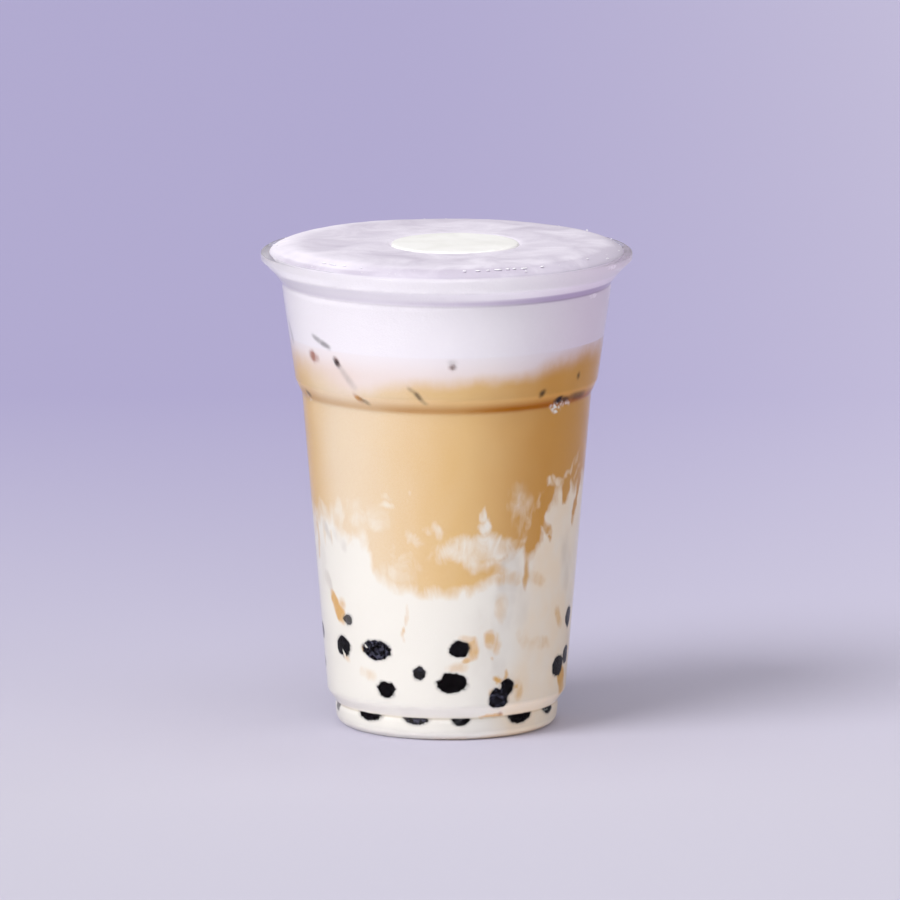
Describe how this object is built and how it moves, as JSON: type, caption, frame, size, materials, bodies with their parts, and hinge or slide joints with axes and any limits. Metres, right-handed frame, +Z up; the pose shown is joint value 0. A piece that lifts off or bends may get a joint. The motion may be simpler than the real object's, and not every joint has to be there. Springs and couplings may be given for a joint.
{
  "type": "brown sugar milk tea",
  "caption": "Iced brown sugar milk tea in a clear plastic cup: foam cap with a cream spot, tea over milk, and tapioca pearls at the wall.",
  "frame": {"origin": "middle of the foot, on the surface that the cup stands on", "axes": "+Z up the cup's axis; -Y towards the front, where the milk dips lowest under the tea"},
  "size_m": [0.098, 0.098, 0.1289],
  "materials": {
    "clear_plastic": "clear glossy plastic",
    "lavender_foam": "soft pale lavender foam",
    "foam_blend": "foam running into tea",
    "milk_tea": "caramel milk tea",
    "milk": "white milk with tea swirls",
    "cream": "smooth off-white cream",
    "tapioca": "glossy black tapioca"
  },
  "bodies": {
    "root": {"cream_spot": "cream", "cup": "clear_plastic", "foam_blend": "foam_blend", "foam_cap": "lavender_foam", "milk": "milk", "milk_tea": "milk_tea", "pearl_01": "tapioca", "pearl_02": "tapioca", "pearl_03": "tapioca", "pearl_04": "tapioca", "pearl_05": "tapioca", "pearl_06": "tapioca", "pearl_07": "tapioca", "pearl_08": "tapioca", "pearl_09": "tapioca", "pearl_10": "tapioca", "pearl_11": "tapioca", "pearl_12": "tapioca", "pearl_13": "tapioca", "pearl_14": "tapioca", "pearl_15": "tapioca", "pearl_16": "tapioca", "pearl_17": "tapioca", "pearl_18": "tapioca", "pearl_19": "tapioca", "pearl_20": "tapioca", "pearl_21": "tapioca", "pearl_22": "tapioca", "pearl_23": "tapioca", "pearl_24": "tapioca", "pearl_25": "tapioca", "pearl_26": "tapioca", "pearl_27": "tapioca", "pearl_28": "tapioca", "pearl_29": "tapioca"}
  },
  "joints": []
}
